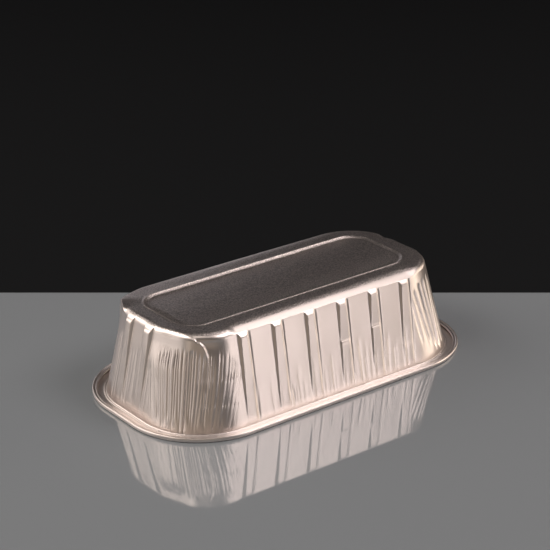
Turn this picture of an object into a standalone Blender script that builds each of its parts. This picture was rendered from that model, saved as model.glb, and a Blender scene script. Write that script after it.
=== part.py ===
"""Foil container: a loaf tray pressed from one sheet of aluminium foil.

The tray is modelled upside down, standing on its rim with its base on top. +X is the
long way, +Z is up, and the origin is on the ground below the middle of the tray.
All lengths are in metres.
"""
import math

import bpy

# The sheet
FOIL_THICKNESS = 0.0001

# Rim, measured over the bead
RIM_LENGTH = 0.220
RIM_WIDTH = 0.122
RIM_CORNER_RADIUS = 0.047
FLANGE_WIDTH = 0.008

# Bead: the free edge of the flange, curled over on itself
BEAD_WIDTH = 0.0030
BEAD_HEIGHT = 0.0026
BEAD_TURN = math.radians(315.0)
BEAD_STEPS = 7

# Walls, which lean in by their run, and the base, whose outline is where the two would
# meet if their shared edge weren't rounded
TRAY_HEIGHT = 0.054
SIDE_WALL_RUN = 0.0130
END_WALL_RUN = 0.0115
BASE_CORNER_RADIUS = 0.028
BASE_EDGE_RADIUS = 0.0035
FOLD_RADIUS = 0.0015

# Panel sunk into the base, inside a flat border
PANEL_SIDE_BORDER = 0.0130
PANEL_END_BORDER = 0.0115
PANEL_CORNER_RADIUS = 0.014
PANEL_DEPTH = 0.0010
PANEL_STEP_RUN = 0.0012

# Stiffening ribs pressed out of the walls, proudest at a shoulder next to the base
RIB_FOOT_WIDTH = 0.0078
RIB_CROWN_WIDTH = 0.0037
RIB_HEIGHT = 0.00165
RIB_SHOULDER_HEIGHT = 0.0030
RIB_TOE_GAP = 0.0012
SIDE_RIB_PITCH = 0.0228
SIDE_RIB_SHIFT = 0.0036
END_RIB_PITCH = 0.0180
END_RIB_SHIFT = -0.0040

# Pleats that gather the spare foil at the corners
PLEATS_PER_CORNER = 12
PLEAT_DEPTH = 0.0006
PLEAT_FOOT_GAP = 0.0032
PLEAT_HEAD_GAP = 0.0100
PLEAT_RUN_OUT = 0.0080

# Finish
FOIL_COLOUR = (0.80, 0.76, 0.73, 1.0)
FOIL_ROUGHNESS = 0.34
SMOOTH_BELOW_ANGLE = math.radians(28.0)

QUARTER_TURN = math.radians(90.0)


def clear_scene():
    for obj in list(bpy.context.scene.objects):
        bpy.data.objects.remove(obj, do_unlink=True)


class Outline:
    """A rounded rectangle: the half lengths of its straight sides and its corner radius."""

    def __init__(self, length, width, radius):
        self.half_x = length / 2 - radius
        self.half_y = width / 2 - radius
        self.radius = radius

    def inset(self, distance):
        """The parallel outline that lies this far inside."""
        moved = Outline(0.0, 0.0, 0.0)
        moved.half_x = self.half_x
        moved.half_y = self.half_y
        moved.radius = self.radius - distance
        return moved

    def towards(self, other, share):
        """The outline this share of the way to another one."""
        moved = Outline(0.0, 0.0, 0.0)
        moved.half_x = self.half_x + (other.half_x - self.half_x) * share
        moved.half_y = self.half_y + (other.half_y - self.half_y) * share
        moved.radius = self.radius + (other.radius - self.radius) * share
        return moved

    def half_run(self, side):
        """Half the straight length of a side; sides 0 and 2 are long, 1 and 3 are the ends."""
        return self.half_x if side % 2 == 0 else self.half_y

    def place(self, station, lift, guide):
        """The point of a station, moved outward by lift.

        The guide is the outline whose side and corner the station's distance is measured
        on, so that stations keep their order on an outline with tighter corners.
        """
        along = self.half_run(station.side)
        away = self.half_run(station.side + 1)
        if station.on_corner:
            centre, angle = along, station.value * QUARTER_TURN
        else:
            guide_along = guide.half_run(station.side)
            past_end = max(abs(station.value) - guide_along, 0.0)
            straight = min(abs(station.value) / guide_along, 1.0) * along
            centre = math.copysign(straight, station.value)
            angle = math.copysign(past_end / guide.radius, station.value)
        reach = self.radius + lift
        x = centre + reach * math.sin(angle)
        y = -away - reach * math.cos(angle)
        for _ in range(station.side):
            x, y = -y, x
        return x, y


class Station:
    """One upright line of the walls.

    On a side, value is the distance from the side's middle. On the corner that follows
    the side, it is the share of the corner's turn. Rib is 1 on a rib's crown and pleat is
    1 at the bottom of a pleat. Only the plain stations carry on over the rim and the base.
    """

    def __init__(self, side, value, on_corner=False, rib=0, pleat=0, plain=False):
        self.side = side
        self.value = value
        self.on_corner = on_corner
        self.rib = rib
        self.pleat = pleat
        self.plain = plain


def rim_outline():
    return Outline(RIM_LENGTH, RIM_WIDTH, RIM_CORNER_RADIUS)


def base_outline():
    length = RIM_LENGTH - 2 * (FLANGE_WIDTH + END_WALL_RUN)
    width = RIM_WIDTH - 2 * (FLANGE_WIDTH + SIDE_WALL_RUN)
    return Outline(length, width, BASE_CORNER_RADIUS)


def panel_outline():
    """The lip of the sunk panel."""
    length = RIM_LENGTH - 2 * (FLANGE_WIDTH + END_WALL_RUN + PANEL_END_BORDER)
    width = RIM_WIDTH - 2 * (FLANGE_WIDTH + SIDE_WALL_RUN + PANEL_SIDE_BORDER)
    return Outline(length, width, PANEL_CORNER_RADIUS)


def rib_centres(side):
    """Distances of a side's ribs from its middle, as many as its straight part takes."""
    if side % 2 == 0:
        pitch, shift = SIDE_RIB_PITCH, SIDE_RIB_SHIFT
    else:
        pitch, shift = END_RIB_PITCH, END_RIB_SHIFT
    gaps = int(2 * base_outline().half_run(side) / pitch)
    return [shift + (number - gaps / 2) * pitch for number in range(gaps + 1)]


def corner_share(reach_past_side, side):
    """The share of the corner's turn that a rib takes up when it reaches past its side."""
    base = base_outline()
    past_end = reach_past_side - base.half_run(side)
    return past_end / (base.radius * QUARTER_TURN)


def side_stations(side):
    stations = []
    for centre in rib_centres(side):
        stations.append(Station(side, centre - RIB_FOOT_WIDTH / 2))
        stations.append(Station(side, centre - RIB_CROWN_WIDTH / 2, rib=1))
        stations.append(Station(side, centre + RIB_CROWN_WIDTH / 2, rib=1))
        stations.append(Station(side, centre + RIB_FOOT_WIDTH / 2))
    stations[0].plain = True
    stations[-1].plain = True
    return stations


def corner_stations(side):
    """Stations of the corner after a side, between the last rib and the next side's first."""
    last_foot = rib_centres(side)[-1] + RIB_FOOT_WIDTH / 2
    next_foot = RIB_FOOT_WIDTH / 2 - rib_centres(side + 1)[0]
    first_share = corner_share(last_foot, side)
    last_share = 1.0 - corner_share(next_foot, side + 1)
    half_pleat = 0.5 / PLEATS_PER_CORNER
    stations = []
    for number in range(PLEATS_PER_CORNER + 1):
        share = number / PLEATS_PER_CORNER
        if not first_share + half_pleat / 2 < share < last_share - half_pleat / 2:
            continue
        if stations:
            stations.append(Station(side, share - half_pleat, on_corner=True, pleat=1))
        stations.append(Station(side, share, on_corner=True, plain=True))
    return stations


def all_stations():
    """Every station, anticlockwise seen from above, from the side at -Y."""
    stations = []
    for side in range(4):
        stations += side_stations(side)
        stations += corner_stations(side)
    return stations


class Row:
    """A closed line round the tray at one height, through all stations or the plain ones."""

    def __init__(self, outline, z, guide=None, detailed=False, rib=0.0, pleat=0.0):
        self.outline = outline
        self.z = z
        self.guide = guide or outline
        self.detailed = detailed
        self.rib = rib
        self.pleat = pleat


def bead_rows():
    """Rows of the curled edge, from its free end round to the flange."""
    half_width = BEAD_WIDTH / 2
    half_height = BEAD_HEIGHT / 2
    rows = []
    for step in range(BEAD_STEPS, -1, -1):
        angle = BEAD_TURN * step / BEAD_STEPS
        inset = half_width - (half_width - FOIL_THICKNESS) * math.sin(angle)
        z = half_height - (half_height - FOIL_THICKNESS) * math.cos(angle)
        rows.append(Row(rim_outline().inset(inset), z))
    return rows


def fold_row(wall_foot, draft, tilt):
    """A row of the rounded fold where the flange turns up into the wall."""
    setback = FOLD_RADIUS * math.tan((QUARTER_TURN - draft) / 2)
    outward = setback - FOLD_RADIUS * math.cos(tilt)
    z = FOIL_THICKNESS + FOLD_RADIUS * (1 - math.sin(tilt))
    return Row(wall_foot.inset(-outward), z, detailed=True)


def edge_row(wall_top, draft, tilt):
    """A row of the rounded edge between the wall and the base."""
    setback = BASE_EDGE_RADIUS * math.tan((QUARTER_TURN - draft) / 2)
    inward = setback - BASE_EDGE_RADIUS * math.cos(tilt)
    z = TRAY_HEIGHT - BASE_EDGE_RADIUS * (1 - math.sin(tilt))
    return Row(wall_top.inset(inward), z, detailed=True)


def rise_and_fall(z, low, high, run):
    """Climbs from 0 at low to 1 and comes back to 0 at high, each way over the run."""
    return min(max(min((z - low) / run, (high - z) / run), 0.0), 1.0)


def wall_rows(wall_foot, wall_top, fold_z, edge_z):
    """Rows of the flat wall, where the ribs and pleats rise and run out."""
    rib_toe = fold_z + RIB_TOE_GAP
    rib_crown = edge_z - RIB_SHOULDER_HEIGHT
    pleat_foot = fold_z + PLEAT_FOOT_GAP
    pleat_head = edge_z - PLEAT_HEAD_GAP
    full_pleat = (pleat_foot + PLEAT_RUN_OUT, pleat_head - PLEAT_RUN_OUT)
    rows = []
    for z in sorted([rib_toe, pleat_foot, *full_pleat, pleat_head, rib_crown]):
        outline = wall_foot.towards(wall_top, z / TRAY_HEIGHT)
        rib = min(max((z - rib_toe) / (rib_crown - rib_toe), 0.0), 1.0)
        pleat = rise_and_fall(z, pleat_foot, pleat_head, PLEAT_RUN_OUT)
        rows.append(Row(outline, z, detailed=True, rib=rib, pleat=pleat))
    return rows


def tray_rows():
    """Every row from the free edge of the bead to the sunk panel of the base."""
    wall_foot = rim_outline().inset(FLANGE_WIDTH)
    wall_top = base_outline()
    draft = math.atan2((SIDE_WALL_RUN + END_WALL_RUN) / 2, TRAY_HEIGHT)
    half_tilt = (QUARTER_TURN + draft) / 2
    fold = [fold_row(wall_foot, draft, tilt) for tilt in (QUARTER_TURN, half_tilt, draft)]
    edge = [edge_row(wall_top, draft, tilt) for tilt in (draft, half_tilt, QUARTER_TURN)]
    lip = panel_outline()
    panel = [
        Row(lip, TRAY_HEIGHT, guide=wall_top),
        Row(lip.inset(PANEL_STEP_RUN), TRAY_HEIGHT - PANEL_DEPTH, guide=wall_top),
    ]
    return bead_rows() + fold + wall_rows(wall_foot, wall_top, fold[-1].z, edge[0].z) + edge + panel


def join_rows(lower, upper, plain_numbers):
    """Faces between two rows, given as lists of vertex numbers with None where skipped."""
    count = len(lower)
    faces = []
    if None not in lower and None not in upper:
        for here in range(count):
            ahead = (here + 1) % count
            faces.append((lower[here], lower[ahead], upper[ahead], upper[here]))
        return faces
    for number, start in enumerate(plain_numbers):
        end = plain_numbers[(number + 1) % len(plain_numbers)]
        span = [(start + step) % count for step in range((end - start) % count + 1)]
        below = [lower[place] for place in span if lower[place] is not None]
        above = [upper[place] for place in span if upper[place] is not None]
        faces.append(tuple(below + above[::-1]))
    return faces


def tray_mesh():
    """The open foil surface: one loft from the bead's free edge to the panel."""
    stations = all_stations()
    plain_numbers = [number for number, station in enumerate(stations) if station.plain]
    vertices = []
    faces = []
    previous = None
    for row in tray_rows():
        numbers = []
        for station in stations:
            if not (row.detailed or station.plain):
                numbers.append(None)
                continue
            lift = station.rib * row.rib * RIB_HEIGHT - station.pleat * row.pleat * PLEAT_DEPTH
            numbers.append(len(vertices))
            vertices.append((*row.outline.place(station, lift, row.guide), row.z))
        if previous:
            faces += join_rows(previous, numbers, plain_numbers)
        previous = numbers
    faces.append(tuple(number for number in previous if number is not None))
    mesh = bpy.data.meshes.new("foil_tray")
    mesh.from_pydata(vertices, [], faces)
    mesh.validate()
    return mesh


def foil_material():
    material = bpy.data.materials.new("aluminium_foil")
    material.use_nodes = True
    shader = material.node_tree.nodes["Principled BSDF"]
    shader.inputs["Base Color"].default_value = FOIL_COLOUR
    shader.inputs["Metallic"].default_value = 1.0
    shader.inputs["Roughness"].default_value = FOIL_ROUGHNESS
    material.diffuse_color = FOIL_COLOUR
    return material


def build_tray(collection):
    """The one piece: the pressed sheet, given its thickness on the side of the food."""
    mesh = tray_mesh()
    mesh.materials.append(foil_material())
    mesh.shade_smooth()
    mesh.set_sharp_from_angle(angle=SMOOTH_BELOW_ANGLE)
    tray = bpy.data.objects.new("foil_tray", mesh)
    collection.objects.link(tray)
    sheet = tray.modifiers.new("sheet thickness", "SOLIDIFY")
    sheet.thickness = FOIL_THICKNESS
    sheet.offset = -1.0
    sheet.use_even_offset = True
    return tray


def main():
    clear_scene()
    collection = bpy.data.collections.new("foil_container")
    bpy.context.scene.collection.children.link(collection)
    build_tray(collection)


main()
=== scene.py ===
"""Foil container, dressed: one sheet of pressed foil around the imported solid.

The tray lies upside down on a glossy grey floor in front of a dark ground, lit by softboxes
on all sides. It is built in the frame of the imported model: +X is the long way, +Z is up, and
the rim stands on z = 0. The near side is -Y, the left end -X. Lengths are in metres where no
comment says mm.
"""

import math

import bpy
import numpy as np
from mathutils import Matrix, Vector


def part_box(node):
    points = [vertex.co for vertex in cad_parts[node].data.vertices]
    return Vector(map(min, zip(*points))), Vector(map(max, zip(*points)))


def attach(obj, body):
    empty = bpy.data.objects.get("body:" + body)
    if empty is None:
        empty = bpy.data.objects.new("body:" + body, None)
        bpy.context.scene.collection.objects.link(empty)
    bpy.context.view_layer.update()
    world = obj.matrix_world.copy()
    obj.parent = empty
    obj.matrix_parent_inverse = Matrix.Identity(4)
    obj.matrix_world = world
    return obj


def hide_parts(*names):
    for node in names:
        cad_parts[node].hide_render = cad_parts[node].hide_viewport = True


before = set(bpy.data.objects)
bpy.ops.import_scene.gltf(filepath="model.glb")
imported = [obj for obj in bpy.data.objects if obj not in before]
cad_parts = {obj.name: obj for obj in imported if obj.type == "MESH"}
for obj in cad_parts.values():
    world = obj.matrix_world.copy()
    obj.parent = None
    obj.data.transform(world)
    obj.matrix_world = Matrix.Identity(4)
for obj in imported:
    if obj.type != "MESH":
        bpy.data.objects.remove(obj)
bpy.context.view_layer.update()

QUARTER = math.pi / 2
MM = 0.001

# The sides of the tray, anticlockwise from above. Each one's number also stands for the corner
# that follows it, so that LEFT is the near left corner too
NEAR, RIGHT, FAR, LEFT = range(4)

# Sizes of the tray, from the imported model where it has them
TRAY_LOW, TRAY_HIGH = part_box("foil_tray")
RIM_LENGTH = TRAY_HIGH.x - TRAY_LOW.x
RIM_WIDTH = TRAY_HIGH.y - TRAY_LOW.y
TRAY_HEIGHT = TRAY_HIGH.z
SHEET_TOP = 0.1 * MM
RIM_CORNER_RADIUS = 47 * MM
FLANGE_WIDTH = 8 * MM
SIDE_WALL_RUN = 13 * MM
END_WALL_RUN = 11.5 * MM
BASE_CORNER_RADIUS = 28 * MM

# The fold between the flange and the wall, and a narrow ridge on the flange beside it
FOLD_RADIUS = 0.8 * MM
FOLD_STEPS = 5
FLANGE_RISE = 0.3 * MM
FLANGE_SHARES = (0.35, 0.70, 0.80, 0.85, 0.89, 0.93, 0.965)
FOOT_RIDGE = 0.35 * MM
FOOT_RIDGE_WIDTH = 0.3 * MM
FOOT_RIDGE_GAP = 0.45 * MM

# The sunk panel: it lies a little towards the far side and its middle is crowned
PANEL_SIDE_BORDER = 14.2 * MM
PANEL_END_BORDER = 11.5 * MM
PANEL_CORNER_RADIUS = 14 * MM
PANEL_DEPTH = 1.15 * MM
PANEL_STEP_RUN = 1.9 * MM
PANEL_STEP_START = -0.3 * MM
PANEL_STEP_EASE = 0.2
PANEL_CROWN = 0.8 * MM
PANEL_MIDDLE_RISE = 0.84
PANEL_SHIFT = 1.0 * MM

# A ridge round the panel's lip, by its inset from the lip. It loses a share of its height on
# the right end and on a share of each corner beside it, and grows back over another share
LIP_RIDGE = 0.34 * MM
LIP_RIDGE_WIDTH = 0.6 * MM
LIP_RIDGE_INSET = -0.45 * MM
LIP_RIDGE_LOSS = 0.85
LIP_LOW_CORNER = 0.5
LIP_LOW_RUN = 0.4

# The panel's rows: insets of those across its lip and step, then rings that shrink to a strip
BORDER_SHARES = (0.33, 0.67)
LIP_MARGIN = 1.8 * MM
LIP_ROWS = 14
LIP_FIRST_INSET = -1.6 * MM
LIP_ROW_GAP = 0.28 * MM
RINGS = 14
RING_FOOT_INSET = 2.3 * MM
RING_BULGE = 1.2 * MM
STRIP_END_GAP = 8 * MM
STRIP_HALF_WIDTH = 0.5 * MM
STRIP_RADIUS = 3 * MM

# The base edge: a crease at the top of the wall, then a curve that flattens into the border,
# but a plain rounding round the ends
EDGE_DROP = 2.8 * MM
EDGE_REACH = 8.5 * MM
EDGE_POWER = 2.2
EDGE_SHARES = (0.012, 0.035, 0.07, 0.12, 0.18, 0.26, 0.34, 0.47, 0.60, 0.74, 0.87, 1.0)
LEFT_EDGE_RADIUS = 4.5 * MM
RIGHT_EDGE_RADIUS = 3.4 * MM
BORDER_SINK = 0.3 * MM

# The base sags by this much towards its long edges. The far border falls away behind the
# panel by this share of the distance, but at the right only by a part of it. The change lies
# where x is a share of the base's length
BASE_BOW = 0.3 * MM
FAR_FALL = 0.05
FAR_FALL_AT_RIGHT = 0.2
FAR_FALL_CHANGE_END = 0.22
FAR_FALL_CHANGE_RUN = 0.55

# The far left corner of the base stands up in a tip
TIP_PLACE = (-83.4 * MM, 32.1 * MM)
TIP_HEIGHT = 0.8 * MM
TIP_REACH = 7 * MM

# Ribs: flanks of one slope, so that the crown widens from the shoulder down to the toe
RIB_FOOT = 7.3 * MM
RIB_HEIGHT = 1.35 * MM
RIB_FLANK_SLOPE = 0.95
RIB_SHOULDER = 2.4 * MM
RIB_TOE_GAP = 1.2 * MM
RIB_SOFTNESS = 0.10 * MM

# Where the ribs stand, as seen from outside: their pitch, their shift to the right and their
# lean, a distance to the left for each metre of fall. On the long sides the lean grows from
# rib to rib, and on the ends the ribs sit higher by a rise
SIDE_RIBS = 6
SIDE_RIB_PITCH = 22.6 * MM
SIDE_RIB_SHIFT = 2.3 * MM
SIDE_RIB_LEAN = 0.048
SIDE_RIB_LEAN_GAIN = 0.008
END_RIBS = 2
END_RIB_PITCH = 18.0 * MM
END_RIB_SHIFT = -4.0 * MM
END_RIB_LEAN = 0.04
END_RIB_RISE = 1.1 * MM

# A groove follows each rib on its right side, deeper beside a buckled rib
RIB_GROOVE = 0.46 * MM
RIB_GROOVE_WIDTH = 0.58 * MM
RIB_GROOVE_GAP = 0.32 * MM
BUCKLED_GROOVE_GAIN = 1.3

# Half the height of the ledge on a buckled rib
LEDGE_HALF = 0.5 * MM

# Mesh density: stations along a long side, an end and a corner, all multiples of 8
SIDE_STATIONS = 256
END_STATIONS = 96
CORNER_STATIONS = 184


def clamp(value, low=0.0, high=1.0):
    return np.minimum(np.maximum(value, low), high)


def smooth(value):
    share = clamp(value)
    return share * share * (3 - 2 * share)


def between(value, low, high, run):
    """1 between low and high, with a smooth run-out outside each."""
    return smooth((value - low) / run + 1) * smooth((high - value) / run + 1)


class Outline:
    """A rounded rectangle, by the half lengths of its straight sides and its radius."""

    def __init__(self, half_x, half_y, radius):
        self.half_x = half_x
        self.half_y = half_y
        self.radius = radius

    def inset(self, distance):
        return Outline(self.half_x, self.half_y, self.radius - distance)

    def towards(self, other, share):
        return Outline(
            self.half_x + (other.half_x - self.half_x) * share,
            self.half_y + (other.half_y - self.half_y) * share,
            self.radius + (other.radius - self.radius) * share,
        )


def outline_of(length, width, radius):
    return Outline(length / 2 - radius, width / 2 - radius, radius)


RIM = outline_of(RIM_LENGTH, RIM_WIDTH, RIM_CORNER_RADIUS)
WALL_FOOT = RIM.inset(FLANGE_WIDTH)
BASE_LENGTH = RIM_LENGTH - 2 * (FLANGE_WIDTH + END_WALL_RUN)
BASE_WIDTH = RIM_WIDTH - 2 * (FLANGE_WIDTH + SIDE_WALL_RUN)
WALL_TOP = outline_of(BASE_LENGTH, BASE_WIDTH, BASE_CORNER_RADIUS)
PANEL = outline_of(
    BASE_LENGTH - 2 * PANEL_END_BORDER,
    BASE_WIDTH - 2 * PANEL_SIDE_BORDER,
    PANEL_CORNER_RADIUS,
)
PANEL_BACK = PANEL.half_y + PANEL.radius


class Stations:
    """The upright lines of the mesh, anticlockwise from the left end of the near side.

    share runs from -1 to 1 along a straight side and stays at 1 on the corner that follows
    it, where turn grows from 0 to a quarter turn.
    """

    def __init__(self):
        side, share, turn = [], [], []
        for number in range(4):
            count = SIDE_STATIONS if number % 2 == 0 else END_STATIONS
            for step in range(count):
                side.append(number)
                share.append(-1 + 2 * step / count)
                turn.append(0.0)
            for step in range(CORNER_STATIONS):
                side.append(number)
                share.append(1.0)
                turn.append(QUARTER * step / CORNER_STATIONS)
        self.side = np.array(side)
        self.share = np.array(share)
        self.turn = np.array(turn)
        self.count = len(side)
        self.long = self.side % 2 == 0

    def along(self, outline):
        """Half the straight run of each station's side."""
        return np.where(self.long, outline.half_x, outline.half_y)

    def away(self, outline):
        return np.where(self.long, outline.half_y, outline.half_x)

    def distance(self, outline):
        """Distance along the outline from the middle of the station's own side."""
        return self.share * self.along(outline) + self.turn * outline.radius

    def distance_ahead(self, outline):
        """The same from the middle of the next side, negative on the way to it."""
        return -self.away(outline) - (QUARTER - self.turn) * outline.radius

    def points(self, outline, lift):
        """The x and y of each station on the outline, moved outward by lift."""
        reach = outline.radius + lift
        x = self.share * self.along(outline) + reach * np.sin(self.turn)
        y = -self.away(outline) - reach * np.cos(self.turn)
        for number in range(1, 4):
            turned = self.side >= number
            x, y = np.where(turned, -y, x), np.where(turned, x, y)
        return np.stack([x, y], axis=1)


STATIONS = Stations()


# Places round the walls are measured along the perimeter at half height
MID_WALL = WALL_FOOT.towards(WALL_TOP, 0.5)
SIDE_RUN = 2 * MID_WALL.half_x
END_RUN = 2 * MID_WALL.half_y
CORNER_RUN = MID_WALL.radius * QUARTER
HALF_LAP = SIDE_RUN + END_RUN + 2 * CORNER_RUN
LAP = 2 * HALF_LAP
SIDE_STARTS = [0.0, SIDE_RUN + CORNER_RUN, HALF_LAP, HALF_LAP + SIDE_RUN + CORNER_RUN]
SIDE_LENGTHS = [SIDE_RUN, END_RUN, SIDE_RUN, END_RUN]


def lap_places():
    """Each station's distance round the tray at half height, from where the near side starts."""
    own = STATIONS.distance(MID_WALL) + STATIONS.along(MID_WALL)
    return np.array(SIDE_STARTS)[STATIONS.side] + own


PLACES = lap_places()


def side_place(side, distance):
    """The place of a distance in mm from the middle of a side."""
    return SIDE_STARTS[side] + SIDE_LENGTHS[side] / 2 + distance * MM


def corner_place(side, degrees):
    """The place of a turn on the corner that follows a side."""
    return SIDE_STARTS[side] + SIDE_LENGTHS[side] + math.radians(degrees) * MID_WALL.radius


def lap_gap(places, centre):
    """The signed distance round the tray from a centre, the short way."""
    return (places - centre + LAP / 2) % LAP - LAP / 2


# How round a pleat is where it is deepest, and how quickly a skewed one changes from its
# deeper side to the other
PLEAT_ROUNDING = 0.03
SKEW_SHARPNESS = 2.5


class Pleats:
    """Many upright creases, held as arrays: place, lean, size and the heights they span."""

    def __init__(self):
        self.rows = []

    def add(self, place, lean, depth, width, skew, low, high, low_run, high_run):
        """Place in metres, lean in metres a metre of height, the other lengths in mm."""
        sizes = [length * MM for length in (low, high, low_run, high_run)]
        self.rows.append((place, lean, depth * MM, width * MM, skew, *sizes))

    def freeze(self):
        self.columns = np.array(self.rows).T[:, :, None]

    def lift(self, z):
        """How far the pleats lift each station at a height, which is inward."""
        place, lean, depth, width, skew, low, high, low_run, high_run = self.columns
        centre = place + lean * (z - TRAY_HEIGHT / 2)
        offset = lap_gap(PLACES[None, :], centre) / width
        tent = np.exp(-np.sqrt(offset * offset + PLEAT_ROUNDING))
        fold = tent * (1 + skew * np.tanh(SKEW_SHARPNESS * offset))
        reach = smooth((z - low) / low_run + 1) * smooth((high - z) / high_run + 1)
        return -(depth * reach * fold).sum(axis=0)


# The corners' pleats: how wide apart and how deep they are and how far they fan out. Places on
# a corner are turns in degrees, depths, widths and heights are in mm
CORNER_PLEATS = {
    NEAR: (1.3, 1.0, 0.002),
    RIGHT: (1.1, 0.9, 0.0),
    FAR: (1.1, 0.9, 0.0),
    LEFT: (0.80, 1.0, 0.0055),
}
PLEATS_FROM = -14.0
PLEATS_TO = 106.0
PLEATS_FROM_AFTER_FOLDS = {NEAR: 42.0}
FAN_CENTRE = 30
CORNER_GAPS = (2.3, 4.6)
CORNER_DEPTH = 0.50
CORNER_STRENGTHS = (0.5, 1.0)
CORNER_WIDTHS = (0.34, 0.62)
CORNER_SKEWS = [-0.8, -0.4, 0.4, 0.8]
CORNER_LOW_ENDS = (4.5, 13.0)
CORNER_LOW_RUN = 5
CORNER_HIGH_END = 34
CORNER_HIGH_GAIN = 9
CORNER_HIGH_LOSSES = (0.0, 4.0)
CORNER_HIGH_RUN = 2.5
CORNER_LEAN_SPREAD = 0.014

# Where the pleats are deepest and tallest: first and last turn and the run-out
DEEP_TURNS = (12, 80, 24)
TALL_TURNS = (28, 70, 22)

# The near left corner's pleats: much deeper over some turns, and further apart, wider and
# shallower after another turn, towards the near side
LEFT_DEEP_TURNS = (34, 62, 8)
LEFT_DEEP_GAIN = 0.9
LEFT_SOFT_FROM = 64
LEFT_SOFT_DEPTH = 0.75
LEFT_SOFT_WIDTH = 1.15
LEFT_SOFT_GAP = 1.2
LEFT_HIGH_LOSSES = (0.0, 2.0)
LEFT_HIGH_RUN = 3.0

# How high they reach there, by turn
CREST_TURNS = [-14, 4, 11, 29, 40, 51, 62, 69, 76, 90, 106]
CREST_HEIGHTS = [28, 35, 39.5, 43.5, 44.5, 44.0, 40.5, 42, 40, 34, 28]

# The large slanted folds of the near right corner: turn in degrees, lean, depth, width,
# skew, low and high end
SLANTED_FOLDS = [
    (2.0, -0.15, 0.35, 0.70, 0.4, 16.0, 34.0),
    (9.8, -0.19, 0.75, 0.90, 0.7, 13.0, 40.0),
    (18.5, -0.13, 1.35, 1.10, 0.7, 10.0, 43.0),
    (26.0, -0.08, 1.50, 1.10, 0.7, 9.0, 44.0),
    (33.5, 0.09, 1.50, 1.10, 0.7, 9.0, 45.0),
    (41.0, 0.04, 1.20, 1.00, 0.5, 8.0, 42.0),
]
SLANTED_RUNS = (6, 2.5)


def corner_pleats(pleats, rng, side):
    """The crowded pleats of one corner, tallest and deepest in its middle."""
    spacing, size, fan = CORNER_PLEATS[side]
    degrees = PLEATS_FROM_AFTER_FOLDS.get(side, PLEATS_FROM)
    while degrees < PLEATS_TO:
        place = degrees
        strength = float(between(place, *DEEP_TURNS)) * rng.uniform(*CORNER_STRENGTHS)
        depth = CORNER_DEPTH * size * strength
        width = rng.uniform(*CORNER_WIDTHS) * spacing
        skew = rng.choice(CORNER_SKEWS)
        if side == LEFT:
            high = float(np.interp(place, CREST_TURNS, CREST_HEIGHTS))
            high -= rng.uniform(*LEFT_HIGH_LOSSES)
        else:
            high = CORNER_HIGH_END + CORNER_HIGH_GAIN * float(between(place, *TALL_TURNS))
            high -= rng.uniform(*CORNER_HIGH_LOSSES)
        low = rng.uniform(*CORNER_LOW_ENDS)
        lean = rng.normal(0.0, CORNER_LEAN_SPREAD) + fan * (place - FAN_CENTRE)
        if side == LEFT:
            depth *= 1 + LEFT_DEEP_GAIN * float(between(place, *LEFT_DEEP_TURNS))
        if side == LEFT and place > LEFT_SOFT_FROM:
            depth *= LEFT_SOFT_DEPTH
            width *= LEFT_SOFT_WIDTH
            place += LEFT_SOFT_GAP
        runs = (CORNER_LOW_RUN, LEFT_HIGH_RUN if side == LEFT else CORNER_HIGH_RUN)
        pleats.add(corner_place(side, place), lean, depth, width, skew, low, high, *runs)
        degrees = place + rng.uniform(*CORNER_GAPS) * spacing


# The pleats of a short wall, from a distance on one side of its middle to the same on the other
END_PLEATS_REACH = 15.0
END_GAPS = (1.4, 3.0)
END_DEPTHS = (0.08, 0.24)
END_WIDTHS = (0.4, 0.9)
END_SKEWS = [-0.6, 0.0, 0.6]
END_HIGH_ENDS = (26.0, 38.0)
END_LOW_ENDS = (5.0, 14.0)
END_RUNS = (6, 5)
END_LEAN_SPREAD = 0.02


def end_wall_pleats(pleats, rng, side):
    """Softer, wider pleats on a short wall."""
    distance = -END_PLEATS_REACH
    while distance < END_PLEATS_REACH:
        depth = rng.uniform(*END_DEPTHS)
        width = rng.uniform(*END_WIDTHS)
        high = rng.uniform(*END_HIGH_ENDS)
        low = rng.uniform(*END_LOW_ENDS)
        skew = rng.choice(END_SKEWS)
        lean = rng.normal(0.0, END_LEAN_SPREAD)
        pleats.add(side_place(side, distance), lean, depth, width, skew, low, high, *END_RUNS)
        distance += rng.uniform(*END_GAPS)


# The soft folds at the foot of a long wall: where they start and stop, and how far apart
FOOT_FOLDS = (-56.0, 60.0, 3.7)
FOOT_DEPTHS = (0.02, 0.20)
FOOT_WIDTHS = (0.6, 1.3)
FOOT_SKEW = 0.3
FOOT_LOW_END = 3.5
FOOT_HIGH_ENDS = (8.0, 20.0)
FOOT_RUNS = (2.5, 9)
FOOT_LEANS = (0.02, 0.10)


def side_wall_pleats(pleats, rng, side):
    """A few soft folds that rise from the foot of a long wall."""
    for distance in np.arange(*FOOT_FOLDS):
        depth = rng.uniform(*FOOT_DEPTHS)
        width = rng.uniform(*FOOT_WIDTHS)
        high = rng.uniform(*FOOT_HIGH_ENDS)
        lean = rng.uniform(*FOOT_LEANS)
        place = side_place(side, distance)
        pleats.add(place, lean, depth, width, FOOT_SKEW, FOOT_LOW_END, high, *FOOT_RUNS)


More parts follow.
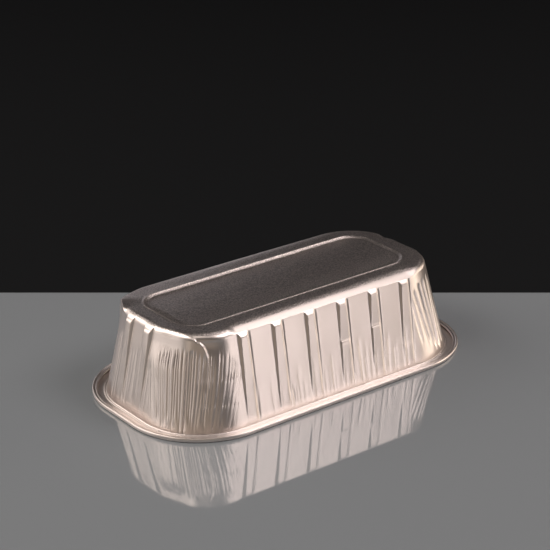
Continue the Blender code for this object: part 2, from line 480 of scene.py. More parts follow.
# Single folds of the near side that show in the photograph: distance along it, lean, depth,
# width, skew, low and high end and their run-outs, all in mm but the lean and the skew
SINGLE_FOLDS = [
    (-49.5, 0.10, 0.30, 0.90, 0.0, 4.0, 16.0, 2.0, 6.0),
    (-27.5, 0.02, 0.26, 0.40, 0.5, 4.5, 12.0, 1.5, 2.5),
    (-24.6, 0.02, 0.15, 0.50, 0.0, 4.5, 10.0, 2.0, 4.0),
    (1.2, 0.06, 0.24, 0.55, 0.4, 4.5, 18.0, 2.5, 6.0),
    (21.2, 0.03, 0.20, 0.60, 0.3, 6.0, 22.0, 2.5, 7.0),
    (24.0, 0.03, 0.18, 0.60, -0.3, 5.0, 13.0, 2.0, 6.0),
    (42.6, 0.13, 0.26, 0.55, 0.5, 5.0, 19.0, 2.0, 6.0),
    (46.5, 0.10, 0.22, 0.50, -0.4, 5.0, 14.0, 2.0, 4.0),
]

# One long crease on the near left corner: the same after its turn
LONG_CREASE_TURN = 59
LONG_CREASE = (0.14, 0.75, 0.45, 0.0, 27.0, 40.0, 4.0, 1.5)

PLEATS_SEED = 11


def wall_pleats():
    """All the pleats and folds of the walls."""
    rng = np.random.default_rng(PLEATS_SEED)
    pleats = Pleats()
    for side in range(4):
        corner_pleats(pleats, rng, side)
        if side % 2:
            end_wall_pleats(pleats, rng, side)
        else:
            side_wall_pleats(pleats, rng, side)
    for degrees, *sizes in SLANTED_FOLDS:
        pleats.add(corner_place(NEAR, degrees), *sizes, *SLANTED_RUNS)
    for distance, *sizes in SINGLE_FOLDS:
        pleats.add(side_place(NEAR, distance), *sizes)
    pleats.add(corner_place(LEFT, LONG_CREASE_TURN), *LONG_CREASE)
    pleats.freeze()
    return pleats


PLEATS = wall_pleats()


def ramp(value, ease):
    """The value where it is positive and 0 elsewhere, the corner rounded over +-ease."""
    inside = clamp(value, -ease, ease)
    return (inside + ease) ** 2 / (4 * ease) + np.maximum(value - ease, 0.0)


DRAFT = math.atan2((SIDE_WALL_RUN + END_WALL_RUN) / 2, TRAY_HEIGHT)
SETBACK = math.tan((QUARTER - DRAFT) / 2)
FOLD_FOOT = SHEET_TOP + FLANGE_RISE
FOLD_TOP = FOLD_FOOT + FOLD_RADIUS * (1 - math.sin(DRAFT))
BORDER_Z = TRAY_HEIGHT - BORDER_SINK
CREASE_Z = BORDER_Z - EDGE_DROP
RIB_TOE = FOLD_TOP + RIB_TOE_GAP
RIB_SHOULDER_Z = CREASE_Z - RIB_SHOULDER

# Ribs that buckled when the tray was pressed, by their number on the near side: the height of
# the ledge, and the share of the crown's height that is left above it
BUCKLED = {3: (28.2 * MM, 0.25), 4: (30.2 * MM, 0.25), 5: (14.6 * MM, 0.65)}

# An offset from a rib that is out of its reach
OUT_OF_REACH = 1.0


def rib_centres(side, z):
    """The middles of a side's ribs at a height: they lean a little as they come down."""
    fall = RIB_SHOULDER_Z - z
    centres = []
    if side % 2:
        for number in range(END_RIBS):
            place = END_RIB_SHIFT + (number - (END_RIBS - 1) / 2) * END_RIB_PITCH
            centres.append(place - END_RIB_LEAN * fall)
    else:
        for number in range(SIDE_RIBS):
            place = SIDE_RIB_SHIFT + (number - (SIDE_RIBS - 1) / 2) * SIDE_RIB_PITCH
            centres.append(place - (SIDE_RIB_LEAN + SIDE_RIB_LEAN_GAIN * number) * fall)
    return centres


def rib_height(z):
    """How far a rib's crown stands out of the wall at a height."""
    return np.interp(z, [RIB_TOE, RIB_SHOULDER_Z, CREASE_Z], [0.0, RIB_HEIGHT, 0.0])


def buckled_height(z, ledge_z, left):
    """The same for a rib that drops to a share of its height above a ledge."""
    straight = RIB_HEIGHT * (ledge_z - RIB_TOE) / (RIB_SHOULDER_Z - RIB_TOE)
    heights = [RIB_TOE, ledge_z - LEDGE_HALF, ledge_z + LEDGE_HALF, RIB_SHOULDER_Z, CREASE_Z]
    lifts = [0.0, straight, left * straight, RIB_HEIGHT, 0.0]
    return np.interp(z, heights, lifts)


def rib_lift(outline, z):
    """How far the ribs and their grooves lift each station at a height."""
    own = STATIONS.distance(outline)
    ahead = STATIONS.distance_ahead(outline)
    turning = STATIONS.turn > 0
    lift = np.zeros(STATIONS.count)
    for side in range(4):
        on_side = STATIONS.side == side
        before = turning & ((STATIONS.side + 1) % 4 == side)
        for number, centre in enumerate(rib_centres(side, z)):
            whole = rib_height(z - END_RIB_RISE if side % 2 else z)
            buckle = BUCKLED.get(number) if side == NEAR else None
            height = buckled_height(z, *buckle) if buckle else whole
            offset = np.where(before, ahead - centre, OUT_OF_REACH)
            offset = np.where(on_side, own - centre, offset)
            rise = RIB_FLANK_SLOPE * (RIB_FOOT / 2 - np.abs(offset))
            lift += ramp(rise, RIB_SOFTNESS) - ramp(rise - height, RIB_SOFTNESS)
            beside = (offset - RIB_FOOT / 2 - RIB_GROOVE_GAP) / RIB_GROOVE_WIDTH
            gain = BUCKLED_GROOVE_GAIN if buckle else 1.0
            lift -= gain * RIB_GROOVE * (whole / RIB_HEIGHT) ** 0.5 * np.exp(-beside ** 2)
    return lift


class Waves:
    """A smooth random field of about unit size, the same each run."""

    def __init__(self, seed, wavelengths, count, stretch=(1.0, 1.0, 1.0)):
        rng = np.random.default_rng(seed)
        self.waves = []
        for _ in range(count):
            direction = rng.normal(size=3)
            direction *= np.array(stretch) / np.linalg.norm(direction)
            wavelength = rng.uniform(*wavelengths)
            self.waves.append((direction * 2 * math.pi / wavelength, rng.uniform(0, 2 * math.pi)))

    def at(self, x, y, z):
        field = 0.0
        for (along_x, along_y, along_z), phase in self.waves:
            field = field + np.sin(along_x * x + along_y * y + along_z * z + phase)
        return field / math.sqrt(len(self.waves))


WALL_WAVES = Waves(seed=5, wavelengths=(9 * MM, 26 * MM), count=14, stretch=(1.0, 1.0, 0.45))
TOP_WAVES = Waves(seed=8, wavelengths=(14 * MM, 45 * MM), count=12)
WALL_WAVE_SIZE = 0.05 * MM
WALL_WAVE_RUN = 6 * MM
TOP_WAVE_SIZE = 0.04 * MM

# The near left corner above its pleats: pressed in round a turn in degrees, from a height up
PRESS_TURN = 18
PRESS_HALF_RUN = 20 * MM
PRESS_DEPTH = 2.4 * MM
PRESS_FROM = 33 * MM
PRESS_RUN = 14 * MM

# Its crooked ridge: turns in degrees by height in mm, then the heights in mm between which the
# right side of the ridge grows blunter
RIDGE_HEIGHTS = [40.0, 44.8, 48.0, 50.2, 51.4, 52.8]
RIDGE_TURNS = [62, 61, 59, 55.5, 48, 34]
RIDGE_OUT = 0.15 * MM
RIDGE_FROM = 42 * MM
RIDGE_FROM_RUN = 3 * MM
RIDGE_TO = 53.6 * MM
RIDGE_TO_RUN = 1.2 * MM
RIDGE_LEFT_WIDTH = 1.6 * MM
RIDGE_BLUNT_HEIGHTS = [49.5, 51.5]
RIDGE_RIGHT_WIDTHS = [0.5, 1.6]

# The hollow to the right of the ridge
HOLLOW_DEPTH = 1.0 * MM
HOLLOW_EDGE = 1.8 * MM
HOLLOW_REACH = 20 * MM
HOLLOW_RUN = 17 * MM
HOLLOW_FROM = 36 * MM
HOLLOW_FROM_RUN = 12 * MM
HOLLOW_TO = 53 * MM
HOLLOW_TO_RUN = 3 * MM

# The far left corner, squeezed to a point
PINCH_TURN = 48
PINCH_OUT = 1.3 * MM
PINCH_WIDTH = 3.5 * MM
PINCH_FROM = 34 * MM
PINCH_RUN = 20 * MM


def flattened_corner(z):
    """The near left corner above its pleats, pressed in so that it turns more slowly."""
    offset = clamp(lap_gap(PLACES, corner_place(LEFT, PRESS_TURN)) / PRESS_HALF_RUN, -1.0, 1.0)
    return -PRESS_DEPTH * np.cos(offset * QUARTER) ** 2 * smooth((z - PRESS_FROM) / PRESS_RUN)


def crushed_corner(z):
    """The near left corner, pushed in beside a crooked ridge that runs down from the base."""
    turn = np.interp(z / MM, RIDGE_HEIGHTS, RIDGE_TURNS)
    offset = lap_gap(PLACES, corner_place(LEFT, turn))
    reach = smooth((z - RIDGE_FROM) / RIDGE_FROM_RUN) * smooth((RIDGE_TO - z) / RIDGE_TO_RUN)
    right_width = np.interp(z / MM, RIDGE_BLUNT_HEIGHTS, RIDGE_RIGHT_WIDTHS) * MM
    left = np.exp(-np.abs(offset) / RIDGE_LEFT_WIDTH) * (offset < 0)
    right = np.exp(-np.abs(offset) / right_width) * (offset >= 0)
    hollow = smooth(offset / HOLLOW_EDGE) * smooth((HOLLOW_REACH - offset) / HOLLOW_RUN)
    sunk = smooth((z - HOLLOW_FROM) / HOLLOW_FROM_RUN) * smooth((HOLLOW_TO - z) / HOLLOW_TO_RUN)
    return reach * RIDGE_OUT * (left + right) - HOLLOW_DEPTH * sunk * hollow


# How tight the base edge is drawn at the right of the far side and how much more at its left,
# the turn over which that fades on the corner after it and grows on the corner before it
TIGHT_RIGHT = 0.5
TIGHT_LEFT_GAIN = 0.45
TIGHT_FADE_TURN = math.radians(50)
TIGHT_GROW_TURN = math.radians(16)

# Where the plain roundings of the ends stop: past the left end at its far side, and from a
# share of the near right corner to a distance before the far end of the right side. Each has
# its run-out
LEFT_ROUND_REACH = 8 * MM
LEFT_ROUND_RUN = 6 * MM
RIGHT_ROUND_CORNER = 0.75
RIGHT_ROUND_LOSS = 8 * MM
RIGHT_ROUND_RUN = 12 * MM


def sharp_corner():
    """How much the base edge is drawn tight on the far side, 0 to 1."""
    back = STATIONS.side == FAR
    along = np.where(back & (STATIONS.turn == 0), STATIONS.share, -1.0)
    along = np.where(back & (STATIONS.turn > 0), 1.0, along)
    fade = np.where(back, smooth(2 - STATIONS.turn / TIGHT_FADE_TURN), 0.0)
    turning_in = np.where(STATIONS.side == RIGHT, smooth(STATIONS.turn / TIGHT_GROW_TURN), 0.0)
    tight = TIGHT_RIGHT + TIGHT_LEFT_GAIN * smooth((along + 1) / 2)
    return tight * np.maximum(fade, turning_in)


def left_end():
    """1 on the left end and its near corner, with a smooth run-out to 0 beyond them."""
    offset = lap_gap(PLACES, side_place(LEFT, 0.0))
    start = -END_RUN / 2 - LEFT_ROUND_REACH
    return between(offset, start, END_RUN / 2 + CORNER_RUN, LEFT_ROUND_RUN)


def right_end():
    """1 on most of the near right corner and the right end, with a smooth run-out too."""
    offset = lap_gap(PLACES, side_place(RIGHT, 0.0))
    start = -END_RUN / 2 - RIGHT_ROUND_CORNER * CORNER_RUN
    return between(offset, start, END_RUN / 2 - RIGHT_ROUND_LOSS, RIGHT_ROUND_RUN)


def rounded_fall(inset, radius):
    """How far a plain rounding of the base edge has fallen at an inset from the crease."""
    across = max(radius * math.cos(DRAFT) - inset, 0.0)
    return radius - math.sqrt(radius ** 2 - across ** 2)


def edge_fall(share):
    """How far the base edge has fallen below the border, at a share of its reach."""
    drawn = EDGE_DROP * (1 - sharp_corner()) * (1 - share) ** EDGE_POWER
    left = rounded_fall(share * EDGE_REACH, LEFT_EDGE_RADIUS)
    right = rounded_fall(share * EDGE_REACH, RIGHT_EDGE_RADIUS)
    return drawn + (left - drawn) * left_end() + (right - drawn) * right_end()


def pinched_corner(z):
    """The far left corner of the base, squeezed to a point that stands out a little."""
    offset = lap_gap(PLACES, corner_place(FAR, PINCH_TURN))
    tent = np.exp(-np.abs(offset) / PINCH_WIDTH)
    return PINCH_OUT * tent * smooth((z - PINCH_FROM) / PINCH_RUN)


def corner_lift(z):
    """How far the dents and points of the corners lift each station at a height."""
    return crushed_corner(z) + pinched_corner(z) + flattened_corner(z)


class Row:
    """A closed line round the tray: every stride-th station at one step of the section."""

    def __init__(self, outline, z, stride=1, lift=0.0):
        self.points = np.empty((STATIONS.count, 3))
        self.points[:, :2] = STATIONS.points(outline, lift)
        self.points[:, 2] = z
        self.stride = stride

    def settled(self, share=1.0):
        """Lowers the row as the base sags towards its edges, and raises it round the tip."""
        x, y, _ = self.points.T
        bow = BASE_BOW * (y / (BASE_WIDTH / 2)) ** 2
        change_end = FAR_FALL_CHANGE_END * BASE_LENGTH
        leftness = smooth((change_end - x) / (FAR_FALL_CHANGE_RUN * BASE_LENGTH))
        steepness = FAR_FALL * (FAR_FALL_AT_RIGHT + (1 - FAR_FALL_AT_RIGHT) * leftness)
        fall = steepness * np.maximum(y - PANEL_BACK, 0.0)
        from_tip = (x - TIP_PLACE[0]) ** 2 + (y - TIP_PLACE[1]) ** 2
        tip = TIP_HEIGHT * np.exp(-from_tip / TIP_REACH ** 2)
        self.points[:, 2] = np.minimum(self.points[:, 2] - (bow + fall - tip) * share, TRAY_HEIGHT)
        return self

    def raised(self, height):
        self.points[:, 2] += height
        return self

    def shifted(self, distance):
        """Moves the row towards the far side."""
        self.points[:, 1] += distance
        return self

    def ripple(self, waves, size, upright):
        """Moves the row by a field of waves, up and down or in and out."""
        x, y, z = self.points.T
        shift = size * waves.at(x, y, z)
        if upright:
            self.points[:, 2] = np.minimum(z + shift, TRAY_HEIGHT)
        else:
            self.points[:, :2] *= (1 + shift / np.hypot(x, y))[:, None]
        return self


# The bead's section, (inset from the rim, height) in mm, from its free end inside the curl
BEAD_SECTION = [
    (2.45, 0.70), (2.90, 1.00), (3.00, 1.55), (2.75, 2.05), (2.35, 2.22), (2.00, 2.08),
    (1.65, 1.98), (1.20, 2.28), (0.72, 2.58), (0.28, 2.42), (0.05, 1.95), (0.01, 1.25),
    (0.12, 0.60), (0.45, 0.20), (1.20, 0.10), (2.60, 0.10),
]
BEAD_STEPS = 2


def spline(points, steps):
    """A smooth line through the points, with this many steps between each two."""
    line = []
    for number in range(len(points) - 1):
        p0 = points[max(number - 1, 0)]
        p1, p2 = points[number], points[number + 1]
        p3 = points[min(number + 2, len(points) - 1)]
        for step in range(steps):
            t = step / steps
            line.append(tuple(
                0.5 * (2 * b + (c - a) * t + (2 * a - 5 * b + 4 * c - d) * t ** 2
                       + (3 * b - a - 3 * c + d) * t ** 3)
                for a, b, c, d in zip(p0, p1, p2, p3)
            ))
    line.append(points[-1])
    return line


def bead_rows():
    """The curl round the rim, from its free end to where the flange starts."""
    return [Row(RIM.inset(inset * MM), z * MM, stride=4)
            for inset, z in spline(BEAD_SECTION, BEAD_STEPS)]


def flange_rows():
    """The flange, with a narrow ridge along the foot of the wall."""
    start = BEAD_SECTION[-1][0] * MM
    end = FLANGE_WIDTH - FOLD_RADIUS * SETBACK
    rows = []
    for share in FLANGE_SHARES:
        inset = start + (end - start) * share
        ridge = FOOT_RIDGE * math.exp(-((end - inset - FOOT_RIDGE_GAP) / FOOT_RIDGE_WIDTH) ** 2)
        rows.append(Row(RIM.inset(inset), SHEET_TOP + FLANGE_RISE * share + ridge, stride=4))
    return rows


def fold_rows():
    """The small arc from the flange up into the wall."""
    rows = []
    for step in range(FOLD_STEPS + 1):
        tilt = QUARTER + (DRAFT - QUARTER) * step / FOLD_STEPS
        outward = FOLD_RADIUS * (SETBACK - math.cos(tilt))
        z = FOLD_FOOT + FOLD_RADIUS * (1 - math.sin(tilt))
        stride = 2 if step < FOLD_STEPS else 1
        rows.append(Row(WALL_FOOT.inset(-outward), z, stride=stride))
    return rows


# Heights of the wall's rows in mm, as spans of (from, to, rows): closer where ribs are
# buckled and where they end
WALL_LEVELS = [
    (FOLD_TOP / MM, 14.1, 6), (14.1, 15.1, 2), (15.1, 27.7, 6), (27.7, 30.7, 6),
    (30.7, 45.0, 9), (45.0, CREASE_Z / MM, 9),
]
NEAR_TOP_Z = 38 * MM


def wall_rows():
    """The wall with its ribs and pleats, which follows the base's edge near its top."""
    rows = []
    tight = EDGE_DROP - edge_fall(0.0)
    for low, high, count in WALL_LEVELS:
        for z in np.linspace(low, high, count + 1)[1:] * MM:
            outline = WALL_FOOT.towards(WALL_TOP, z / TRAY_HEIGHT)
            lift = rib_lift(outline, z) + PLEATS.lift(z) + corner_lift(z)
            size = WALL_WAVE_SIZE * float(smooth((z - FOLD_TOP) / WALL_WAVE_RUN))
            row = Row(outline, z, lift=lift).ripple(WALL_WAVES, size, False)
            near_top = smooth((z - NEAR_TOP_Z) / (CREASE_Z - NEAR_TOP_Z))
            row.raised(tight * near_top)
            row.settled(near_top)
            rows.append(row)
    return rows


def edge_rows():
    """From the crease at the top of the wall over to the flat border."""
    crease = WALL_FOOT.towards(WALL_TOP, CREASE_Z / TRAY_HEIGHT)
    border = WALL_TOP.inset(EDGE_REACH)
    rows = []
    for share in EDGE_SHARES:
        outline = crease.towards(border, share)
        z = BORDER_Z - EDGE_DROP * (1 - share) ** EDGE_POWER
        lift = rib_lift(outline, z) + corner_lift(z) * (1 - share)
        rows.append(Row(outline, BORDER_Z - edge_fall(share), lift=lift))
    return rows


def step_fall(share):
    """0 to 1 across the step, straight in its middle with a rounded start and end."""
    return ramp(share, PANEL_STEP_EASE) - ramp(share - 1, PANEL_STEP_EASE)


def lip_height():
    """The height of the ridge at the panel's lip, lower on the right end."""
    offset = lap_gap(PLACES, side_place(RIGHT, 0.0))
    reach = END_RUN / 2 + LIP_LOW_CORNER * CORNER_RUN
    low = between(offset, -reach, reach, LIP_LOW_RUN * CORNER_RUN)
    return LIP_RIDGE * (1 - LIP_RIDGE_LOSS * low)


def end_middles():
    """1 at the middle of the right end and -1 at that of the left end, 0 from corner to corner."""
    outward = np.select([STATIONS.side == RIGHT, STATIONS.side == LEFT], [1.0, -1.0], 0.0)
    return outward * (1 - STATIONS.share ** 2)


def border_rows():
    """Rows of the flat border between the base edge and the panel's lip."""
    border = WALL_TOP.inset(EDGE_REACH)
    lip = PANEL.inset(-LIP_MARGIN)
    return [Row(border.towards(lip, share), BORDER_Z, stride=2).shifted(PANEL_SHIFT * share)
            for share in BORDER_SHARES]


def lip_rows():
    """Rows across the ridge at the panel's lip and down the step."""
    rows = []
    for step in range(LIP_ROWS):
        inset = LIP_FIRST_INSET + LIP_ROW_GAP * step
        ridge = lip_height() * math.exp(-((inset - LIP_RIDGE_INSET) / LIP_RIDGE_WIDTH) ** 2)
        down = float(step_fall((inset - PANEL_STEP_START) / PANEL_STEP_RUN))
        z = BORDER_Z + ridge - (PANEL_DEPTH - BORDER_SINK) * down
        rows.append(Row(PANEL.inset(inset), z, stride=4).shifted(PANEL_SHIFT))
    return rows


def panel_rows():
    """Rings of the sunk and crowned panel, from its foot to a strip along its middle."""
    foot = PANEL.inset(RING_FOOT_INSET)
    middle = Outline(PANEL.half_x - STRIP_END_GAP, STRIP_HALF_WIDTH, STRIP_RADIUS)
    rows = []
    for step in range(1, RINGS):
        row = Row(foot.towards(middle, step / RINGS), TRAY_HEIGHT - PANEL_DEPTH, stride=8)
        row.points[:, 0] += RING_BULGE * step / RINGS * end_middles()
        across = row.points[:, 1] / PANEL_BACK
        row.raised(PANEL_CROWN * (PANEL_MIDDLE_RISE - across ** 2))
        rows.append(row.shifted(PANEL_SHIFT))
    return rows


def join_rows(lower, upper, faces):
    """Faces between two rows. Where one has half the stations, they have five corners."""
    (low_start, low_count), (high_start, high_count) = lower, upper
    count = min(low_count, high_count)
    for here in range(count):
        ahead = (here + 1) % count
        if low_count == high_count:
            below = [here, ahead]
            above = [ahead, here]
        elif low_count > high_count:
            below = [2 * here, 2 * here + 1, (2 * here + 2) % low_count]
            above = [ahead, here]
        else:
            below = [here, ahead]
            above = [(2 * here + 2) % high_count, 2 * here + 1, 2 * here]
        faces.append([low_start + i for i in below] + [high_start + i for i in above])


def close_panel(ring, stride, faces):
    """Closes the last ring across its long middle line with a strip of faces."""
    start, count = ring
    end_middle = (STATIONS.count - CORNER_STATIONS - END_STATIONS // 2) // stride
    for step in range(count // 2):
        below = [(end_middle + step) % count, (end_middle + step + 1) % count]
        above = [(end_middle - step - 1) % count, (end_middle - step) % count]
        corners = below + [i for i in above if i not in below]
        faces.append([start + i for i in corners])


def tray_mesh():
    """The whole sheet, from the free end of the bead to the middle of the panel."""
    rows = bead_rows() + flange_rows() + fold_rows() + wall_rows()
    rows += [row.settled().ripple(TOP_WAVES, TOP_WAVE_SIZE, True)
             for row in edge_rows() + border_rows() + lip_rows() + panel_rows()]
    spans, faces, points = [], [], []
    total = 0
    for row in rows:
        taken = row.points[::row.stride]
        points.append(taken)
        spans.append((total, len(taken)))
        total += len(taken)
    points = np.concatenate(points)
    for lower, upper in zip(spans, spans[1:]):
        join_rows(lower, upper, faces)
    close_panel(spans[-1], rows[-1].stride, faces)
    mesh = bpy.data.meshes.new("foil_skin")
    mesh.from_pydata(points.tolist(), [], faces)
    mesh.validate()
    mesh.shade_smooth()
    return mesh


class Nodes:
    """A small helper that builds a material's node tree."""

    def __init__(self, material):
        material.use_nodes = True
        self.tree = material.node_tree
        self.shader = self.tree.nodes["Principled BSDF"]

    def node(self, kind, **settings):
        made = self.tree.nodes.new(kind)
        for name, value in settings.items():
            if name in made.inputs:
                made.inputs[name].default_value = value
            else:
                setattr(made, name, value)
        return made

    def link(self, source, target):
        self.tree.links.new(source, target)


# The foil: two tints that a soft cloud mixes, and a fine grain. Noise scales are per metre. On the
# panel the grain also scales the colour into specks, partly grain tone and partly painted glints
FOIL_TINT = (0.86, 0.78, 0.755)
FOIL_TINT_DULL = (0.85, 0.785, 0.735)
GRAIN_SCALE = 1300.0
CLOUD_SCALE = 70.0
# Painted glints: the grain's range, and the range of factors on the panel's colour that it gives
GLINT_SPECK_FROM = (0.35, 0.65)
GLINT_SPECK_TO = (0.55, 1.15)
WALL_ROUGHNESS = 0.31
PANEL_ROUGHNESS = 0.28
FLANGE_ROUGHNESS_GAIN = 0.06
GRAIN_ROUGHNESS_GAIN = 0.06
GRAIN_HEIGHT = 0.25 * MM
WALL_GRAIN = 0.02
PANEL_GRAIN = 1.0
FLANGE_GRAIN_GAIN = 0.3

# Where the flat faces are: their middle height and half the range of heights round it
PANEL_MASK = (TRAY_HEIGHT - 0.7 * MM, 0.5 * MM)
FLANGE_MASK = (0.0, 0.6 * MM)
MASK_EDGE = 0.2 * MM


def added(nodes, first, second):
    total = nodes.node("ShaderNodeMath", operation="ADD")
    nodes.link(first, total.inputs[0])
    nodes.link(second, total.inputs[1])
    return total.outputs["Value"]


def mapped(nodes, value, source, target):
    """The value, carried over from one range to another and kept within it."""
    ranges = nodes.node("ShaderNodeMapRange")
    ranges.inputs["From Min"].default_value = source[0]
    ranges.inputs["From Max"].default_value = source[1]
    ranges.inputs["To Min"].default_value = target[0]
    ranges.inputs["To Max"].default_value = target[1]
    nodes.link(value, ranges.inputs["Value"])
    return ranges.outputs["Result"]


def blend(nodes, share, low, high):
    """A value that runs from low to high with a share."""
    return mapped(nodes, share, (0.0, 1.0), (low, high))


def near_height(nodes, place, height, run):
    """1 within a run of a height and 0 soon beyond it."""
    split = nodes.node("ShaderNodeSeparateXYZ")
    nodes.link(place.outputs["Object"], split.inputs["Vector"])
    gap = nodes.node("ShaderNodeMath", operation="SUBTRACT")
    nodes.link(split.outputs["Z"], gap.inputs[0])
    gap.inputs[1].default_value = height
    size = nodes.node("ShaderNodeMath", operation="ABSOLUTE")
    nodes.link(gap.outputs["Value"], size.inputs[0])
    return mapped(nodes, size.outputs["Value"], (run, run + MASK_EDGE), (1.0, 0.0))


def foil_material():
    """Satin rolled foil: warm silver, smooth on the drawn walls and grainy on flat faces, where
    the panel's colour carries painted glints in bright and dark specks.
    """
    material = bpy.data.materials.new("aluminium_foil")
    nodes = Nodes(material)
    place = nodes.node("ShaderNodeTexCoord")
    grain = nodes.node("ShaderNodeTexNoise", Scale=GRAIN_SCALE, Detail=2.0, Roughness=0.6)
    nodes.link(place.outputs["Object"], grain.inputs["Vector"])
    cloud = nodes.node("ShaderNodeTexNoise", Scale=CLOUD_SCALE, Detail=3.0, Roughness=0.55)
    nodes.link(place.outputs["Object"], cloud.inputs["Vector"])
    tint = nodes.node("ShaderNodeMix", data_type="RGBA")
    tint.inputs["A"].default_value = (*FOIL_TINT_DULL, 1.0)
    tint.inputs["B"].default_value = (*FOIL_TINT, 1.0)
    nodes.link(cloud.outputs["Fac"], tint.inputs["Factor"])
    panel = near_height(nodes, place, *PANEL_MASK)
    flange = near_height(nodes, place, *FLANGE_MASK)
    # Painted glints, partly grain tone: bright and dark specks that scale the panel's colour
    grain_and_glint = mapped(nodes, grain.outputs["Fac"], GLINT_SPECK_FROM, GLINT_SPECK_TO)
    glint_specked_tint = nodes.node("ShaderNodeVectorMath", operation="SCALE")
    nodes.link(tint.outputs["Result"], glint_specked_tint.inputs[0])
    nodes.link(grain_and_glint, glint_specked_tint.inputs["Scale"])
    colour = nodes.node("ShaderNodeMix", data_type="RGBA")
    nodes.link(panel, colour.inputs["Factor"])
    nodes.link(tint.outputs["Result"], colour.inputs["A"])
    nodes.link(glint_specked_tint.outputs["Vector"], colour.inputs["B"])
    nodes.link(colour.outputs["Result"], nodes.shader.inputs["Base Color"])
    gloss = added(
        nodes,
        blend(nodes, panel, WALL_ROUGHNESS, PANEL_ROUGHNESS),
        blend(nodes, flange, 0.0, FLANGE_ROUGHNESS_GAIN),
    )
    gloss = added(nodes, gloss, blend(nodes, grain.outputs["Fac"], 0.0, GRAIN_ROUGHNESS_GAIN))
    nodes.link(gloss, nodes.shader.inputs["Roughness"])
    bump = nodes.node("ShaderNodeBump", Distance=GRAIN_HEIGHT)
    nodes.link(grain.outputs["Fac"], bump.inputs["Height"])
    strength = added(
        nodes,
        blend(nodes, panel, WALL_GRAIN, PANEL_GRAIN),
        blend(nodes, flange, 0.0, FLANGE_GRAIN_GAIN),
    )
    nodes.link(strength, bump.inputs["Strength"])
    nodes.link(bump.outputs["Normal"], nodes.shader.inputs["Normal"])
    nodes.shader.inputs["Metallic"].default_value = 1.0
    return material


def build_tray():
    mesh = tray_mesh()
    mesh.materials.append(foil_material())
    tray = bpy.data.objects.new("foil_skin", mesh)
    bpy.context.scene.collection.objects.link(tray)
    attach(tray, "root")
    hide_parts("foil_tray")


# The camera: headings run from +Y towards +X, angles are in radians and the lens is in mm
CAMERA_PLACE = (-0.56944, -0.771909, 0.461954)
CAMERA_HEADING = 0.63428
CAMERA_PITCH = 0.40043
CAMERA_ROLL = -0.02209
CAMERA_LENS = 119.943

# The floor ends in a straight line behind the tray, and the dark ground starts there
FLOOR_EDGE_DISTANCE = 0.10316
FLOOR_EDGE_HEADING = math.atan2(0.63625, 0.77148)
FLOOR_REACH = 4.0
FLOOR_COLOUR = (0.262, 0.291, 0.312)
FLOOR_ROUGHNESS = 0.04
FLOOR_SPECULAR = 0.92
GROUND_COLOUR = (0.0125, 0.0135, 0.0145)
GROUND_ROUGHNESS = 1.0
GROUND_SPECULAR = 0.0


def heading_vector(heading, elevation=0.0):
    flat = math.cos(elevation)
    return Vector((flat * math.sin(heading), flat * math.cos(heading), math.sin(elevation)))


def make_camera():
    forward = heading_vector(CAMERA_HEADING, -CAMERA_PITCH)
    level = heading_vector(CAMERA_HEADING + QUARTER)
    upright = level.cross(forward)
    right = level * math.cos(CAMERA_ROLL) + upright * math.sin(CAMERA_ROLL)
    up = upright * math.cos(CAMERA_ROLL) - level * math.sin(CAMERA_ROLL)
    data = bpy.data.cameras.new("camera")
    data.lens = CAMERA_LENS
    camera = bpy.data.objects.new("camera", data)
    turn = Matrix((right, up, -forward)).transposed().to_4x4()
    camera.matrix_world = Matrix.Translation(CAMERA_PLACE) @ turn
    bpy.context.scene.collection.objects.link(camera)
    bpy.context.scene.camera = camera


# Softboxes: name, heading and elevation in degrees, distance, width, height, radiance, colour
WARM = (1.0, 0.89, 0.86)
AMBER = (1.0, 0.85, 0.71)
PLAIN = (1.0, 0.90, 0.83)
BROWN = (1.0, 0.78, 0.58)
COOL = (1.0, 0.94, 0.99)
SOFTBOXES = [
    ("key_right", 146, 49, 1.4, 0.90, 0.60, 4.3, WARM),
    ("card_right", 155, 7, 1.4, 0.40, 0.42, 2.25, WARM),
    ("card_middle", 121, 7, 1.4, 0.60, 0.42, 2.9, AMBER),
    ("card_side", 94, 6, 1.4, 0.60, 0.42, 1.9, AMBER),
    ("side_right", 106, 26, 1.4, 0.60, 0.50, 1.05, AMBER),
    ("key_left", 311, 33, 1.4, 1.15, 0.80, 2.5, PLAIN),
    ("card_left", 298, 4, 1.4, 1.20, 0.35, 1.2, PLAIN),
    ("back_left", 346, 27, 1.4, 0.60, 0.50, 1.0, PLAIN),
    ("top_left", 280, 52, 1.4, 0.60, 0.50, 4.0, PLAIN),
    ("top_front", 222, 54, 0.9, 0.34, 0.50, 1.0, PLAIN),
    ("top_back", 82, 60, 1.4, 0.65, 0.45, 2.2, WARM),
    ("low_front", 222, 5, 1.4, 1.60, 0.35, 0.31, BROWN),
    ("card_front", 256, 6, 1.4, 0.46, 0.36, 0.62, AMBER),
    ("low_back", 2, 8, 1.6, 1.90, 0.42, 0.60, COOL),
]


def softbox(name, heading, elevation, distance, width, height, radiance, colour):
    data = bpy.data.lights.new(name, "AREA")
    data.shape = "RECTANGLE"
    data.size = width
    data.size_y = height
    data.energy = radiance * math.pi * width * height
    data.color = colour
    lamp = bpy.data.objects.new(name, data)
    outward = heading_vector(math.radians(heading), math.radians(elevation))
    lamp.location = outward * distance
    lamp.rotation_mode = "QUATERNION"
    lamp.rotation_quaternion = outward.to_track_quat("Z", "Y")
    lamp.visible_camera = False
    bpy.context.scene.collection.objects.link(lamp)


# The studio's air, cool and brighter near the horizon: each a sine of elevation and a radiance
AIR_COLOUR = (1.0, 0.94, 0.99, 1.0)
AIR_LOW = (0.22, 0.03)
AIR_HIGH = (0.56, 0.012)


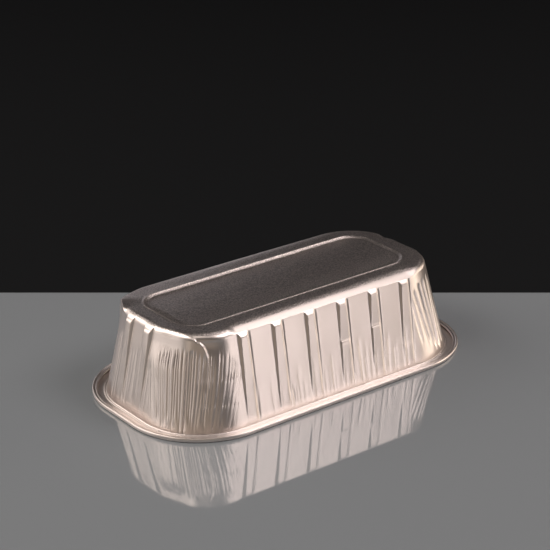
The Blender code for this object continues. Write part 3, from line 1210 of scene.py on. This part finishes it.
def light_scene():
    """The softboxes and the dim air round them."""
    for box in SOFTBOXES:
        softbox(*box)
    world = bpy.data.worlds.new("studio_air")
    world.use_nodes = True
    tree = world.node_tree
    air = tree.nodes["Background"]
    air.inputs["Color"].default_value = AIR_COLOUR
    direction = tree.nodes.new("ShaderNodeTexCoord")
    split = tree.nodes.new("ShaderNodeSeparateXYZ")
    level = tree.nodes.new("ShaderNodeMapRange")
    level.inputs["From Min"].default_value = AIR_LOW[0]
    level.inputs["From Max"].default_value = AIR_HIGH[0]
    level.inputs["To Min"].default_value = AIR_LOW[1]
    level.inputs["To Max"].default_value = AIR_HIGH[1]
    tree.links.new(direction.outputs["Generated"], split.inputs["Vector"])
    tree.links.new(split.outputs["Z"], level.inputs["Value"])
    tree.links.new(level.outputs["Result"], air.inputs["Strength"])
    bpy.context.scene.world = world


def plane(name, corners, material):
    """A flat piece of the stage."""
    mesh = bpy.data.meshes.new(name)
    mesh.from_pydata([tuple(corner) for corner in corners], [], [(0, 1, 2, 3)])
    mesh.materials.append(material)
    obj = bpy.data.objects.new(name, mesh)
    bpy.context.scene.collection.objects.link(obj)


def plain_material(name, colour, roughness, specular):
    material = bpy.data.materials.new(name)
    shader = Nodes(material).shader
    shader.inputs["Base Color"].default_value = (*colour, 1.0)
    shader.inputs["Roughness"].default_value = roughness
    shader.inputs["Specular IOR Level"].default_value = specular
    return material


def build_stage():
    """The glossy floor, which ends in a straight line behind the tray, and dark ground."""
    away = heading_vector(FLOOR_EDGE_HEADING)
    side = heading_vector(FLOOR_EDGE_HEADING + QUARTER)
    left = away * FLOOR_EDGE_DISTANCE - side * FLOOR_REACH
    right = away * FLOOR_EDGE_DISTANCE + side * FLOOR_REACH
    near = away * -FLOOR_REACH
    far = away * FLOOR_REACH
    floor = plain_material("floor_gloss", FLOOR_COLOUR, FLOOR_ROUGHNESS, FLOOR_SPECULAR)
    ground = plain_material("dark_ground", GROUND_COLOUR, GROUND_ROUGHNESS, GROUND_SPECULAR)
    plane("floor", [left + near, right + near, right, left], floor)
    plane("ground", [left, right, right + far, left + far], ground)


build_tray()
build_stage()
light_scene()
make_camera()
bpy.context.scene.view_settings.view_transform = "Standard"
